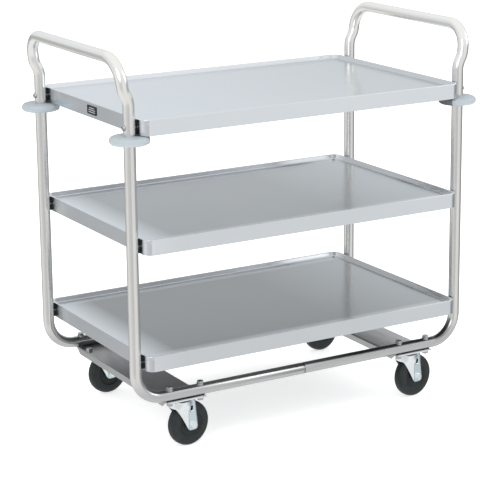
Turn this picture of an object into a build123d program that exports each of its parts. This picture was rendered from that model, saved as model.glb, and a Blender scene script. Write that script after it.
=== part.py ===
from build123d import *
from math import cos, radians, sin, tan
import os

# Food service trolley: three pressed stainless trays bolted between two bent
# tube end frames, rolling on four swivel casters.
# Frame: +Z up, +X to the trolley's right, -Y its front. The origin lies on the
# floor under the middle of the trolley. All sizes are in millimetres.

os.makedirs("parts", exist_ok=True)

# ---- tube end frames ----
TUBE_R = 12.7  # 25.4 mm tube
TUBE_WALL = 1.5
LEG_X = 416.7  # leg axes, from the middle of the trolley
LEG_Y = 222.0
RAIL_Z = 131.0  # axis of the bottom rails
BEND_R = 62.0  # leg to rail, centreline
HANDLE_Z = 866.0  # axis of the handle bars
HANDLE_R = 55.0  # leg to handle bar, centreline
KINK_Z = 778.0  # where a leg starts to lean out to the handle
KINK_OUT = 12.0
KINK_R = 45.0
KINK_ANGLE = 28.0  # the lean of the kink, and of the handle above it
HANDLE_LEAN = 7.5
NECK_R = 11.1  # swaged end of the left tube, pushed into the right one
NECK_LENGTH = 26.0
RAIL_GAP = 2.0  # bare neck that shows between the two tubes

# ---- trays ----
TRAY_X = 400.0  # half length
TRAY_Y = 255.0  # half depth
TRAY_TOPS = {"bottom": 235.0, "middle": 489.0, "top": 742.0}
TRAY_HEIGHT = 34.0
TRAY_CORNER = 20.0
SHEET = 1.2
RIM = 4.0  # flat top of the rim
DECK_DROP = 9.0  # rim top down to the deck
DECK_SLOPE = 6.0  # run of the sloped wall inside the rim
HEM = 8.0  # return along the bottom of the apron
BOLT_DROP = 17.0  # rim top down to the tray bolts

# ---- tray fasteners, M8 ----
SHANK_R = 4.0
HOLE_R = 4.15
HEAD_R = 7.0
NUT_FLATS = 13.0
NUT_HEIGHT = 6.5
PAD_WIDTH = 14.0
PAD_HEIGHT = 28.0

# ---- bumpers under the top tray ----
BUMPER_R = 42.5
BUMPER_HEIGHT = 17.0
BUMPER_Z = TRAY_TOPS["top"] - TRAY_HEIGHT - BUMPER_HEIGHT - 1.0
BUMPER_BORE = TUBE_R + 0.05
CLAMP_ANGLE = 38.0  # half of the sector that the clamp fills
CLAMP_SCREW_X = 28.0  # from the leg axis towards the trolley's middle

# ---- caster bolsters and casters ----
CASTER_X = 299.0
BOLT_X = 37.5  # half spacings of the caster bolts
BOLT_Y = 22.5
CASTER_Y = LEG_Y - BOLT_Y  # the outer bolts run through the rails
BOLSTER_WIDTH = 96.0
BOLSTER_Y = LEG_Y + 9.5
BOLSTER_SHEET = 2.0
BOLSTER_FLANGE = 15.0
PLATE_X = 45.0
PLATE_Y = 32.0
PLATE_SHEET = 2.5
PLATE_TOP = RAIL_Z - TUBE_R - BOLSTER_SHEET
RACE_IN = 14.0
RACE_OUT = 22.0
BALL_RING = 18.0
BALL_R = 2.0
BALL_COUNT = 16
KINGPIN_R = 5.0
CROWN_TOP = 107.4
CROWN_R = 25.0
FORK_SHEET = 2.8
TRAIL = 20.0
HEADING = 8.5  # degrees that the wheels stand round from +X
WHEEL_R = 50.0
WHEEL_WIDTH = 26.0
BUSH_R = 8.0
BUSH_HALF = 15.4
ARM_INSIDE = 15.9
AXLE_R = 4.0
FIT = 0.05  # radial clearance of a running fit

SIDES = {"left": -1, "right": 1}
ENDS = {"front": -1, "rear": 1}
CORNERS = {f"{e}_{s}": (SIDES[s], ENDS[e]) for e in ENDS for s in SIDES}


def save(shape, node):
    shape.label = node
    export_step(shape, f"parts/{node}.step")


def turned(outline, plane=Plane.XZ):
    """Revolves a closed outline of (radius, height) points about Z."""
    face = make_face(Polyline(*outline, close=True).edges())
    return revolve(plane * face, Axis.Z)


def along_x(shape):
    """Lays a shape made along +Z down along +X."""
    return Rot(0, 90, 0) * shape


def along_y(shape):
    """Lays a shape made along +Z down along +Y."""
    return Rot(-90, 0, 0) * shape


UPWARDS = (Align.CENTER, Align.CENTER, Align.MIN)
DOWNWARDS = (Align.CENTER, Align.CENTER, Align.MAX)


def rod(radius, low, high):
    return Pos(0, 0, low) * Cylinder(radius, high - low, align=UPWARDS)


def hexagon(flats, low, high):
    outline = RegularPolygon(flats / 2, 6, major_radius=False)
    nut = Pos(0, 0, low) * extrude(outline, high - low)
    corner = flats / 2 / cos(radians(30))
    cone = Cone(corner + (high - low), corner - 0.4, high - low, align=UPWARDS)
    return nut & (Pos(0, 0, low) * cone)


def bent_path(corners, radii):
    """A line through the corners, with a tangent arc of its own radius at each inner one."""
    edges = []
    start = corners[0]
    for before, corner, after, radius in zip(corners, corners[1:], corners[2:], radii):
        come = (corner - before).normalized()
        go = (after - corner).normalized()
        reach = radius * tan(radians(come.get_angle(go)) / 2)
        arc_start = corner - come * reach
        arc_end = corner + go * reach
        edges.append(Edge.make_line(start, arc_start))
        edges.append(Edge.make_tangent_arc(arc_start, come, arc_end))
        start = arc_end
    edges.append(Edge.make_line(start, corners[-1]))
    return Wire(edges)


# ---- end frames: each is one tube, from rail to leg, handle, leg and rail ----
# The path is drawn for the right-hand frame and mirrored for the left one.
KINK_TOP_Z = KINK_Z + KINK_OUT / tan(radians(KINK_ANGLE))
HANDLE_X = LEG_X + KINK_OUT + (HANDLE_Z - KINK_TOP_Z) * tan(radians(HANDLE_LEAN))


def frame_path(rail_end):
    front = [
        Vector(rail_end, -LEG_Y, RAIL_Z),
        Vector(LEG_X, -LEG_Y, RAIL_Z),
        Vector(LEG_X, -LEG_Y, KINK_Z),
        Vector(LEG_X + KINK_OUT, -LEG_Y, KINK_TOP_Z),
        Vector(HANDLE_X, -LEG_Y, HANDLE_Z),
    ]
    rear = [Vector(p.X, -p.Y, p.Z) for p in reversed(front)]
    radii = [BEND_R, KINK_R, KINK_R, HANDLE_R]
    return bent_path(front + rear, radii + radii[::-1])


def bent_tube(radius, rail_end):
    path = frame_path(rail_end)
    return sweep(Plane(path @ 0, z_dir=path % 0) * Circle(radius), path)


def frame_holes(side):
    """Bolt holes: across each leg for the trays, down each rail for the casters."""
    holes = []
    for end in ENDS.values():
        for name, top in TRAY_TOPS.items():
            reach = (0, 20) if side < 0 else (-20, 0)
            if name == "top":
                reach = (-20, 20)
            across = along_x(rod(HOLE_R, *reach))
            holes.append(Pos(side * LEG_X, end * LEG_Y, top - BOLT_DROP) * across)
        for step in (-BOLT_X, BOLT_X):
            holes.append(Pos(side * CASTER_X + step, end * LEG_Y, RAIL_Z) * rod(HOLE_R, -20, 20))
    return holes


def right_frame_tube():
    tube = bent_tube(TUBE_R, RAIL_GAP / 2) - bent_tube(TUBE_R - TUBE_WALL, RAIL_GAP / 2)
    return tube - frame_holes(1)


def left_frame_tube():
    """The left tube's two rail ends are swaged down to necks that enter the right tube."""
    shoulder = RAIL_GAP / 2 + 2.5
    tube = bent_tube(TUBE_R, shoulder) - bent_tube(TUBE_R - TUBE_WALL, shoulder)
    tube = mirror(tube, Plane.YZ)
    bore = TUBE_R - TUBE_WALL
    neck = turned(
        [
            (bore, 0),
            (TUBE_R, 0),
            (NECK_R, 2.5),
            (NECK_R, NECK_LENGTH),
            (NECK_R - TUBE_WALL, NECK_LENGTH),
            (NECK_R - TUBE_WALL, 2.5),
        ]
    )
    for end in ENDS.values():
        tube += Pos(-shoulder, end * LEG_Y, RAIL_Z) * along_x(neck)
    return tube - frame_holes(-1)


# ---- trays: one pressed sheet, with a rolled rim, a sloped inner wall and an apron ----
def tray_block(inset, low, high, corner):
    outline = RectangleRounded(2 * (TRAY_X - inset), 2 * (TRAY_Y - inset), corner)
    return Pos(0, 0, low) * extrude(outline, high - low)


def pan(grow, floor, top):
    """The hollow over the deck, or that hollow with the sheet's thickness added."""
    mouth = RIM - grow
    wide = RectangleRounded(2 * (TRAY_X - mouth), 2 * (TRAY_Y - mouth), TRAY_CORNER - mouth)
    inset = RIM + DECK_SLOPE - grow
    deep = RectangleRounded(2 * (TRAY_X - inset), 2 * (TRAY_Y - inset), TRAY_CORNER - inset + 2)
    return loft([Pos(0, 0, floor) * deep, Pos(0, 0, top) * wide])


def tray(top):
    low = top - TRAY_HEIGHT
    outer = tray_block(0, low, top, TRAY_CORNER)
    outer = fillet(outer.faces().sort_by(Axis.Z)[-1].edges(), 1.6)
    outer = fillet(outer.faces().sort_by(Axis.Z)[0].edges(), 0.8)
    inside = tray_block(SHEET, low + SHEET, top - SHEET, TRAY_CORNER - SHEET)
    inside -= pan(SHEET, top - DECK_DROP - SHEET, top)
    mouth = tray_block(HEM, low - 1, low + SHEET + 1, TRAY_CORNER - HEM)
    shape = outer - inside - mouth - pan(0, top - DECK_DROP, top + 0.01)
    for side in SIDES.values():
        for end in ENDS.values():
            hole = along_x(rod(HOLE_R, -6, 6))
            shape -= Pos(side * TRAY_X, end * LEG_Y, top - BOLT_DROP) * hole
    return shape


# ---- tray fasteners: pads between legs and aprons, bolts, nuts and leg inserts ----
def tray_pad(side, end, top):
    """A nylon pad that is flat against the apron and hollowed to sit on the leg."""
    outline = SlotOverall(PAD_HEIGHT, PAD_WIDTH)
    pad = along_x(Rot(0, 0, 90) * extrude(Rot(0, 0, 90) * outline, LEG_X - TRAY_X))
    pad = Pos(TRAY_X, LEG_Y, top - BOLT_DROP) * pad
    pad -= Pos(LEG_X, LEG_Y, 0) * rod(TUBE_R, 0, 900)
    pad -= Pos(TRAY_X, LEG_Y, top - BOLT_DROP) * along_x(rod(HOLE_R, -1, 20))
    if side < 0:
        pad = mirror(pad, Plane.YZ)
    if end < 0:
        pad = mirror(pad, Plane.XZ)
    return pad


def dome(radius, height):
    """A button head: a ball cut flat at its base."""
    ball = (radius**2 + height**2) / (2 * height)
    head = Pos(0, 0, height - ball) * Sphere(ball)
    return head & rod(radius, 0, height)


def top_bolt():
    """From the dome head outside the leg, through leg, pad and apron. Made along +Z, from z = 0."""
    reach = LEG_X + TUBE_R - TRAY_X + SHEET + NUT_HEIGHT + 1.5
    socket = Pos(0, 0, 4.4 - 2.2) * extrude(RegularPolygon(2.5, 6, major_radius=False), 3)
    saddle = rod(HEAD_R, -1.6, 0) - along_x(rod(TUBE_R, -20, 20).moved(Location((TUBE_R, 0, 0))))
    return dome(HEAD_R, 4.4) - socket + saddle + rod(SHANK_R, -reach, 0.5)


def insert_bolt():
    """From a hexagon head inside the apron, outwards into the insert in the leg."""
    reach = LEG_X - TUBE_R - TRAY_X + SHEET + 9
    return hexagon(NUT_FLATS, -5.3, 0) + rod(SHANK_R, -1, reach)


def leg_insert():
    """A threaded insert in the leg's inner wall, made along +Z from the outside of the wall."""
    leg_bore = Pos(0, 0, TUBE_R) * along_x(rod(TUBE_R - TUBE_WALL - 0.05, -20, 20))
    return (rod(6.0, 0, 12) & leg_bore) + rod(HOLE_R - 0.05, 0.2, 3) - rod(SHANK_R, -1, 13)


def at_leg_face(shape, side, end, x, z):
    """Places a shape made along +Z so that +Z points outwards, away from the trolley's middle."""
    return Pos(side * x, end * LEG_Y, z) * Rot(0, side * 90, 0) * shape


# ---- bumpers ----
def bumper_ring():
    ring = turned(
        [(BUMPER_BORE, 0), (BUMPER_R, 0), (BUMPER_R, BUMPER_HEIGHT), (BUMPER_BORE, BUMPER_HEIGHT)]
    )
    rims = ring.edges().filter_by(GeomType.CIRCLE).sort_by(lambda e: e.radius)[-2:]
    return fillet(rims, 6.5)


def clamp_sector(half_angle, radius):
    reach = radius * 1.6
    tip = (reach * cos(radians(half_angle)), reach * sin(radians(half_angle)))
    wedge = make_face(Polyline((0, 0), tip, (tip[0], -tip[1]), close=True).edges())
    return extrude(wedge, BUMPER_HEIGHT)


def clamp_hole(radius):
    return Pos(CLAMP_SCREW_X, 0, BUMPER_HEIGHT / 2) * along_y(rod(radius, -40, 40))


def bumper():
    """The bumper's rubber, open where the clamp closes it. Faces the clamp to +X."""
    return bumper_ring() - clamp_sector(CLAMP_ANGLE, BUMPER_R) - clamp_hole(2.7)


def bumper_clamp():
    inner = TUBE_R + 1.5
    body = bumper_ring() & clamp_sector(CLAMP_ANGLE - 0.4, BUMPER_R)
    body = body - rod(inner, 0, BUMPER_HEIGHT) - clamp_hole(2.7)
    body -= rod(60, BUMPER_HEIGHT - 1.2, BUMPER_HEIGHT + 10)
    near = sin(radians(CLAMP_ANGLE)) * CLAMP_SCREW_X
    recess = Pos(CLAMP_SCREW_X, 0, BUMPER_HEIGHT / 2) * along_y(rod(4.6, -40, -near + 6))
    return body - recess


def clamp_screw():
    near = sin(radians(CLAMP_ANGLE)) * CLAMP_SCREW_X
    screw = rod(2.5, -near + 3, near + 6) + rod(4.3, -near + 2, -near + 5.8)
    slot = Pos(0, 0, -near + 2) * Box(9, 1.2, 2.4)
    return Pos(CLAMP_SCREW_X, 0, BUMPER_HEIGHT / 2) * along_y(screw - slot)


def at_bumper(shape, side, end):
    """The clamps close towards the trolley's middle, with screw heads to the front."""
    if side > 0:
        shape = mirror(shape, Plane.YZ)
    return Pos(side * LEG_X, end * LEG_Y, BUMPER_Z) * shape


# ---- nameplate: a plain plate with a raised border and bars ----
PLATE_WIDTH = 46.0
PLATE_TALL = 19.0


def nameplate():
    plate = Box(PLATE_WIDTH, PLATE_TALL, 0.8, align=UPWARDS)
    plate = fillet(plate.edges().filter_by(Axis.Z), 2.5)
    window = Box(PLATE_WIDTH - 3, PLATE_TALL - 3, 0.8, align=UPWARDS)
    plate -= Pos(0, 0, 0.5) * fillet(window.edges().filter_by(Axis.Z), 1.5)
    for row, width in enumerate((24.0, 32.0, 32.0)):
        bar = Box(width, 2.0, 0.45, align=UPWARDS)
        plate += Pos(0, 4.5 - 4.5 * row, 0.4) * bar
    middle = (-TRAY_X, -12.0, TRAY_TOPS["top"] - TRAY_HEIGHT / 2 + 0.5)
    return Plane(middle, x_dir=(0, -1, 0), z_dir=(-1, 0, 0)) * plate


# ---- bolsters: channels across the rails, flanges down, ends of the flanges cut back ----
def bolster(side):
    half = BOLSTER_WIDTH / 2
    top = RAIL_Z - TUBE_R
    outer = Box(2 * half, 2 * BOLSTER_Y, BOLSTER_FLANGE, align=DOWNWARDS)
    long_edges = outer.edges().filter_by(Axis.Y).sort_by(Axis.Z)[-2:]
    outer = fillet(long_edges, 3.0)
    inner = Box(
        2 * (half - BOLSTER_SHEET),
        2 * BOLSTER_Y + 2,
        BOLSTER_FLANGE,
        align=DOWNWARDS,
    )
    inner = fillet(inner.edges().filter_by(Axis.Y).sort_by(Axis.Z)[-2:], 1.0)
    channel = outer - Pos(0, 0, -BOLSTER_SHEET) * inner
    for end in ENDS.values():
        cut = make_face(
            Polyline(
                (end * (BOLSTER_Y - 26), -BOLSTER_FLANGE - 1),
                (end * (BOLSTER_Y + 1), -BOLSTER_FLANGE - 1),
                (end * (BOLSTER_Y + 1), -4.0),
                (end * (BOLSTER_Y - 12), -4.0),
                close=True,
            ).edges()
        )
        channel -= extrude(Plane.YZ * cut, half + 1, both=True)
        for step in (-BOLT_X, BOLT_X):
            for row in (-BOLT_Y, BOLT_Y):
                channel -= Pos(step, end * CASTER_Y + row, 0) * rod(HOLE_R, -20, 5)
    return Pos(side * CASTER_X, 0, top) * channel


# ---- caster fasteners ----
def caster_bolt(head_z):
    """A hexagon bolt with a washer, head up. The nut sits under the caster's plate."""
    low = PLATE_TOP - PLATE_SHEET - NUT_HEIGHT - 1.2
    washer = rod(8.0, head_z, head_z + 1.4)
    return rod(SHANK_R, low, head_z + 2) + washer + hexagon(NUT_FLATS, head_z + 1.4, head_z + 6.4)


def caster_bolts():
    bolts = []
    for side, end in CORNERS.values():
        for step in (-BOLT_X, BOLT_X):
            x = side * CASTER_X + step
            saddle = Pos(0, end * LEG_Y, RAIL_Z) * along_x(rod(TUBE_R, -500, 500))
            here = Pos(x, end * LEG_Y, 0)
            outer = caster_bolt(RAIL_Z + TUBE_R) + rod(8.0, RAIL_Z + 8, RAIL_Z + TUBE_R)
            bolts.append(here * outer - (saddle - here * rod(SHANK_R, 0, 400)))
            bolts.append(Pos(x, end * (LEG_Y - 2 * BOLT_Y), 0) * caster_bolt(RAIL_Z - TUBE_R))
    return bolts


def caster_nuts():
    nuts = []
    top = PLATE_TOP - PLATE_SHEET
    nut = hexagon(NUT_FLATS, top - NUT_HEIGHT, top) - rod(SHANK_R, 0, 200)
    for side, end in CORNERS.values():
        for step in (-BOLT_X, BOLT_X):
            for row in (0, -2 * BOLT_Y):
                nuts.append(Pos(side * CASTER_X + step, end * (LEG_Y + row), 0) * nut)
    return nuts


# ---- caster, made round its swivel axis with the wheel trailing towards +X ----
def race_groove():
    """Room for the balls: a ring a touch bigger than they are."""
    return Pos(0, 0, BALL_Z) * Torus(BALL_RING, BALL_R + 0.1)


PLATE_LOW = PLATE_TOP - PLATE_SHEET
BALL_Z = (CROWN_TOP + PLATE_LOW) / 2


def mount_plate():
    outline = RectangleRounded(2 * PLATE_X, 2 * PLATE_Y, 8)
    plate = Pos(0, 0, PLATE_LOW) * extrude(outline, PLATE_SHEET)
    dish = turned(
        [
            (RACE_IN, PLATE_LOW + 1),
            (RACE_IN, BALL_Z + 0.5),
            (RACE_OUT - 0.5, BALL_Z + 0.5),
            (RACE_OUT + 2.0, PLATE_LOW + 1),
        ]
    )
    plate = plate + dish - race_groove() - rod(KINGPIN_R + 0.01, 0, 200)
    for x in (-BOLT_X, BOLT_X):
        for y in (-BOLT_Y, BOLT_Y):
            plate -= Pos(x, y, 0) * rod(HOLE_R, 100, 130)
    return plate


def kingpin():
    """Riveted into the plate, with its head under the fork's crown."""
    low = CROWN_TOP - FORK_SHEET - 0.4
    return rod(KINGPIN_R, low - 1, PLATE_TOP) + rod(8.5, low - 2.6, low)


def race_balls():
    ball = Pos(BALL_RING, 0, BALL_Z) * Sphere(BALL_R)
    return [Rot(0, 0, 360 / BALL_COUNT * i) * ball for i in range(BALL_COUNT)]


def fork():
    """Pressed sheet: a round crown with a skirt behind, and an arm down each side of the wheel."""
    low = CROWN_TOP - FORK_SHEET
    arm_out = ARM_INSIDE + FORK_SHEET
    disc = Circle(CROWN_R)
    bridge = Pos((TRAIL + 6) / 2, 0) * Rectangle(TRAIL + 6, 2 * arm_out)
    crown = Pos(0, 0, low) * extrude(disc + bridge, FORK_SHEET)
    skirt_in = CROWN_R - FORK_SHEET
    skirt = turned([(skirt_in, 92), (CROWN_R, 92), (CROWN_R, low + 1), (skirt_in, low + 1)])
    skirt &= Pos(-30, 0, 100) * Box(60 + 2 * 6, 80, 60)
    throat = Pos(-CROWN_R, 0, 92) * Box(20, 2 * 11, 12)
    side_view = make_face(
        Polyline(
            (TRAIL + 6, low + 1),
            (TRAIL + 13, WHEEL_R + 4),
            (TRAIL + 13, WHEEL_R - 12),
            (TRAIL - 13, WHEEL_R - 12),
            (TRAIL - 16, WHEEL_R - 2),
            (TRAIL - 19, WHEEL_R + 4),
            (TRAIL - 24, WHEEL_R + 14),
            (TRAIL - 29, WHEEL_R + 23),
            (TRAIL - 33.5, WHEEL_R + 30),
            (TRAIL - 36, WHEEL_R + 34),
            (TRAIL - 36, low + 1),
            close=True,
        ).edges()
    )
    arm_block = extrude(Plane.XZ * side_view, arm_out, both=True)
    gap = Box(200, 2 * ARM_INSIDE, 2 * low, align=(Align.CENTER, Align.CENTER, Align.CENTER))
    corners = (
        arm_block.edges()
        .filter_by(Axis.Y)
        .filter_by(lambda e: e.center().Z < WHEEL_R - 11)
    )
    arms = fillet(corners, 9.0) - gap
    shape = crown + skirt + arms - throat
    seat = BALL_Z - 0.5
    rise = turned([(RACE_IN, low + 1), (RACE_OUT, low + 1), (RACE_OUT, seat), (RACE_IN, seat)])
    shape = shape + rise - race_groove()
    shape -= rod(KINGPIN_R + FIT, 0, 200)
    shape -= Pos(TRAIL, 0, WHEEL_R) * along_y(rod(AXLE_R + 0.1, -60, 60))
    slot = Rot(0, 0, 90) * SlotOverall(12, 6)
    shape -= Pos(TRAIL - 3, 0, 88) * Rot(90, 0, 0) * extrude(slot, 40, both=True)
    return shape


def axle_bolt():
    out = ARM_INSIDE + FORK_SHEET
    shank = along_y(rod(AXLE_R, -out - 1, out + NUT_HEIGHT + 2))
    head = Rot(90, 0, 0) * (hexagon(NUT_FLATS, out, out + 5.3))
    return Pos(TRAIL, 0, WHEEL_R) * (shank + head)


def axle_nut():
    out = ARM_INSIDE + FORK_SHEET
    nut = hexagon(NUT_FLATS, 0, NUT_HEIGHT) - rod(AXLE_R, -1, 20)
    return Pos(TRAIL, out, WHEEL_R) * along_y(nut)


def wheel():
    """A solid wheel: rounded tread, flat walls, a hub boss in a ringed recess on each side."""
    half = WHEEL_WIDTH / 2
    body = turned([(BUSH_R, -half), (WHEEL_R, -half), (WHEEL_R, half), (BUSH_R, half)])
    body = fillet(body.edges().filter_by(GeomType.CIRCLE).sort_by(lambda e: e.radius)[-2:], 5.0)
    recess = turned([(14, half - 4), (27, half - 4), (30, half + 1), (14, half + 1)])
    body = body - recess - mirror(recess, Plane.XY)
    boss = turned([(BUSH_R, half - 1), (13.5, half - 1), (12.5, BUSH_HALF - 0.4), (BUSH_R, BUSH_HALF - 0.4)])
    body = body + boss + mirror(boss, Plane.XY)
    return Pos(TRAIL, 0, WHEEL_R) * along_y(body)


def wheel_bushing():
    bush = rod(BUSH_R, -BUSH_HALF, BUSH_HALF) - rod(AXLE_R + FIT, -20, 20)
    return Pos(TRAIL, 0, WHEEL_R) * along_y(bush)


def at_caster(shape, side, end, heading=HEADING):
    place = Location((side * CASTER_X, end * CASTER_Y, 0), (0, 0, heading))
    return shape.moved(place)


def grouped(shapes):
    return Compound(children=list(shapes))


# ---- write one file for each node ----
save(left_frame_tube(), "left_frame_tube")
save(right_frame_tube(), "right_frame_tube")

for name, top in TRAY_TOPS.items():
    save(tray(top), f"{name}_tray")

corner_tops = [(s, e, n, t) for s, e in CORNERS.values() for n, t in TRAY_TOPS.items()]
save(grouped(tray_pad(s, e, t) for s, e, n, t in corner_tops), "tray_pads")

top_z = TRAY_TOPS["top"] - BOLT_DROP
lower = [(s, e, t - BOLT_DROP) for s, e, n, t in corner_tops if n != "top"]
save(
    grouped(at_leg_face(top_bolt(), s, e, LEG_X + TUBE_R, top_z) for s, e in CORNERS.values()),
    "top_tray_bolts",
)
top_nut = hexagon(NUT_FLATS, -NUT_HEIGHT, 0) - rod(SHANK_R, -20, 20)
save(
    grouped(at_leg_face(top_nut, s, e, TRAY_X - SHEET, top_z) for s, e in CORNERS.values()),
    "top_tray_nuts",
)
save(
    grouped(at_leg_face(insert_bolt(), s, e, TRAY_X - SHEET, z) for s, e, z in lower),
    "lower_tray_bolts",
)
save(
    grouped(at_leg_face(leg_insert(), s, e, LEG_X - TUBE_R, z) for s, e, z in lower),
    "leg_inserts",
)

for corner, (side, end) in CORNERS.items():
    save(at_bumper(bumper(), side, end), f"{corner}_bumper")
    save(at_bumper(bumper_clamp(), side, end), f"{corner}_bumper_clamp")
save(grouped(at_bumper(clamp_screw(), s, e) for s, e in CORNERS.values()), "bumper_clamp_screws")

save(nameplate(), "nameplate")

for name, side in SIDES.items():
    save(bolster(side), f"{name}_caster_bolster")
save(grouped(caster_bolts()), "caster_bolts")
save(grouped(caster_nuts()), "caster_nuts")

for corner, (side, end) in CORNERS.items():
    save(at_caster(mount_plate(), side, end, 0), f"{corner}_caster_plate")
    save(at_caster(kingpin(), side, end, 0), f"{corner}_kingpin")
    save(at_caster(grouped(race_balls()), side, end, 0), f"{corner}_race_balls")
    save(at_caster(fork(), side, end), f"{corner}_fork")
    save(at_caster(axle_bolt(), side, end), f"{corner}_axle_bolt")
    save(at_caster(axle_nut(), side, end), f"{corner}_axle_nut")
    save(at_caster(wheel(), side, end), f"{corner}_wheel")
    save(at_caster(wheel_bushing(), side, end), f"{corner}_wheel_bushing")
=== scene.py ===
from math import atan2, cos, pi, radians, sin, sqrt, tan

import bmesh
import bpy
from mathutils import Matrix, Vector


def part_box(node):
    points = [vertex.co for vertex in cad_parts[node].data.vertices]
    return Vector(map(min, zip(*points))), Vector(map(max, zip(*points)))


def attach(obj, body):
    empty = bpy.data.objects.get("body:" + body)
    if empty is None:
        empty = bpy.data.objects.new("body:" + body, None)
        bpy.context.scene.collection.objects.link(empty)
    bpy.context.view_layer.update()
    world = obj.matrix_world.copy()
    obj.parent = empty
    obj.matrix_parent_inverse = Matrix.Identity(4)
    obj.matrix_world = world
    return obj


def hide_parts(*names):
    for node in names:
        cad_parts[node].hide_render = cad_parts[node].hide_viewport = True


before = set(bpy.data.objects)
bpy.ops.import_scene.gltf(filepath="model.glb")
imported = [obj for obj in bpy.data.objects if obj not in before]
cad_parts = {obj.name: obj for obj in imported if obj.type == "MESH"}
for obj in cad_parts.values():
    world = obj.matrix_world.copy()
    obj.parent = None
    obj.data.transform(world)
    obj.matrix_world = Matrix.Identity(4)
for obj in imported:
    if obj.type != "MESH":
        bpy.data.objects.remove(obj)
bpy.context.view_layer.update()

# Food service trolley: three pressed stainless trays between two bent tube end frames,
# with rubber bumpers and four swivel casters. Lengths are in metres; MM turns the
# drawing's millimetres into them.
MM = 0.001


# ---- Camera ----
# It stands to the left of the trolley's front, higher than its handles, and looks down
# at it. The shift lowers the view without tilting the legs together.
lens = bpy.data.cameras.new("trolley_camera")
lens.sensor_width = 36.0
lens.lens = 130.4
lens.shift_y = -0.1
lens.clip_end = 100.0
camera = bpy.data.objects.new("trolley_camera", lens)
camera.matrix_world = (
    Matrix.Translation((-2.0397, -3.4863, 1.4534))
    @ Matrix.Rotation(-0.5289, 4, "Z")
    @ Matrix.Rotation(pi / 2 - 0.2383, 4, "X")
    @ Matrix.Rotation(-0.0097, 4, "Z")
)
bpy.context.scene.collection.objects.link(camera)
bpy.context.scene.camera = camera


# ---- Floor and studio ----
# A wide white sweep that the light washes out, with only soft shade round the wheels.
# It is kept out of the steel's reflections, which come from the studio round it.
def new_finish(name, colour, roughness, metallic=0.0):
    """A material with one Principled shader, and the tree and shader to wire it with."""
    material = bpy.data.materials.new(name)
    material.use_nodes = True
    tree = material.node_tree
    shader = tree.nodes["Principled BSDF"]
    shader.inputs["Base Color"].default_value = (*colour, 1.0)
    shader.inputs["Roughness"].default_value = roughness
    shader.inputs["Metallic"].default_value = metallic
    return material, tree, shader


def place_of(tree):
    """Where a point lies on its piece, in metres."""
    return tree.nodes.new("ShaderNodeTexCoord").outputs["Object"]


def grain(tree, where, stretch, scale, detail=3.0, roughness=0.55):
    """Noise from 0 to 1 over the piece; a small stretch number draws it out that way."""
    mapping = tree.nodes.new("ShaderNodeMapping")
    mapping.inputs["Scale"].default_value = stretch
    noise = tree.nodes.new("ShaderNodeTexNoise")
    noise.inputs["Scale"].default_value = scale
    noise.inputs["Detail"].default_value = detail
    noise.inputs["Roughness"].default_value = roughness
    tree.links.new(where, mapping.inputs["Vector"])
    tree.links.new(mapping.outputs["Vector"], noise.inputs["Vector"])
    return noise.outputs["Fac"]


def spread(tree, value, start, end, low, high):
    """Maps start..end of a value onto low..high, and holds it there outside."""
    ramp = tree.nodes.new("ShaderNodeMapRange")
    tree.links.new(value, ramp.inputs["Value"])
    ends = {"From Min": start, "From Max": end, "To Min": low, "To Max": high}
    for socket, number in ends.items():
        ramp.inputs[socket].default_value = number
    return ramp.outputs["Result"]


def tint(tree, amount, first, second):
    """Mixes from the first colour, or socket, to the second as amount goes from 0 to 1."""
    mix = tree.nodes.new("ShaderNodeMix")
    mix.data_type = "RGBA"
    tree.links.new(amount, mix.inputs["Factor"])
    for socket, colour in ((mix.inputs[6], first), (mix.inputs[7], second)):
        if isinstance(colour, tuple):
            socket.default_value = (*colour, 1.0)
        else:
            tree.links.new(colour, socket)
    return mix.outputs[2]


def combine(tree, operation, first, second):
    """One step of arithmetic on two values; each is a socket or a number."""
    step = tree.nodes.new("ShaderNodeMath")
    step.operation = operation
    for socket, value in zip(step.inputs, (first, second)):
        if isinstance(value, (int, float)):
            socket.default_value = value
        else:
            tree.links.new(value, socket)
    return step.outputs[0]


def relief(tree, shader, height, strength, depth, under=None):
    """Bump on the shader; under is another bump's normal that this one lies on."""
    bump = tree.nodes.new("ShaderNodeBump")
    bump.inputs["Strength"].default_value = strength
    bump.inputs["Distance"].default_value = depth
    tree.links.new(height, bump.inputs["Height"])
    if under:
        tree.links.new(under, bump.inputs["Normal"])
    tree.links.new(bump.outputs["Normal"], shader.inputs["Normal"])
    return bump.outputs["Normal"]


def as_object(bm, name, *materials):
    """Makes the bmesh an object at the origin, smooth shaded, with its materials."""
    mesh = bpy.data.meshes.new(name)
    bm.to_mesh(mesh)
    bm.free()
    mesh.shade_smooth()
    for material in materials:
        mesh.materials.append(material)
    piece = bpy.data.objects.new(name, mesh)
    bpy.context.scene.collection.objects.link(piece)
    return piece


FLOOR_HALF = 80.0
FLOOR_GLOW = 0.61
sweep_paper, paper_tree, paper_shader = new_finish("sweep_paper", (0.90, 0.90, 0.90), 0.9)
paper_shader.inputs["Emission Color"].default_value = (1.0, 1.0, 1.0, 1.0)
paper_shader.inputs["Emission Strength"].default_value = FLOOR_GLOW
paper_fibre = grain(paper_tree, place_of(paper_tree), (1, 1, 1), 400.0)
relief(paper_tree, paper_shader, paper_fibre, 0.05, 0.0002)

floor_mesh = bmesh.new()
bmesh.ops.create_grid(floor_mesh, x_segments=1, y_segments=1, size=FLOOR_HALF)
floor = as_object(floor_mesh, "studio_floor", sweep_paper)
floor.visible_glossy = False

# The studio seen in the steel: a bright ceiling and table, a grey far wall, and round
# the horizon a row of soft panels with dark gaps, which draw bands down the tubes.
world = bpy.data.worlds.new("studio")
bpy.context.scene.world = world
world.use_nodes = True
studio = world.node_tree
backdrop = studio.nodes["Background"]
direction = studio.nodes.new("ShaderNodeTexCoord").outputs["Generated"]


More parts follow.
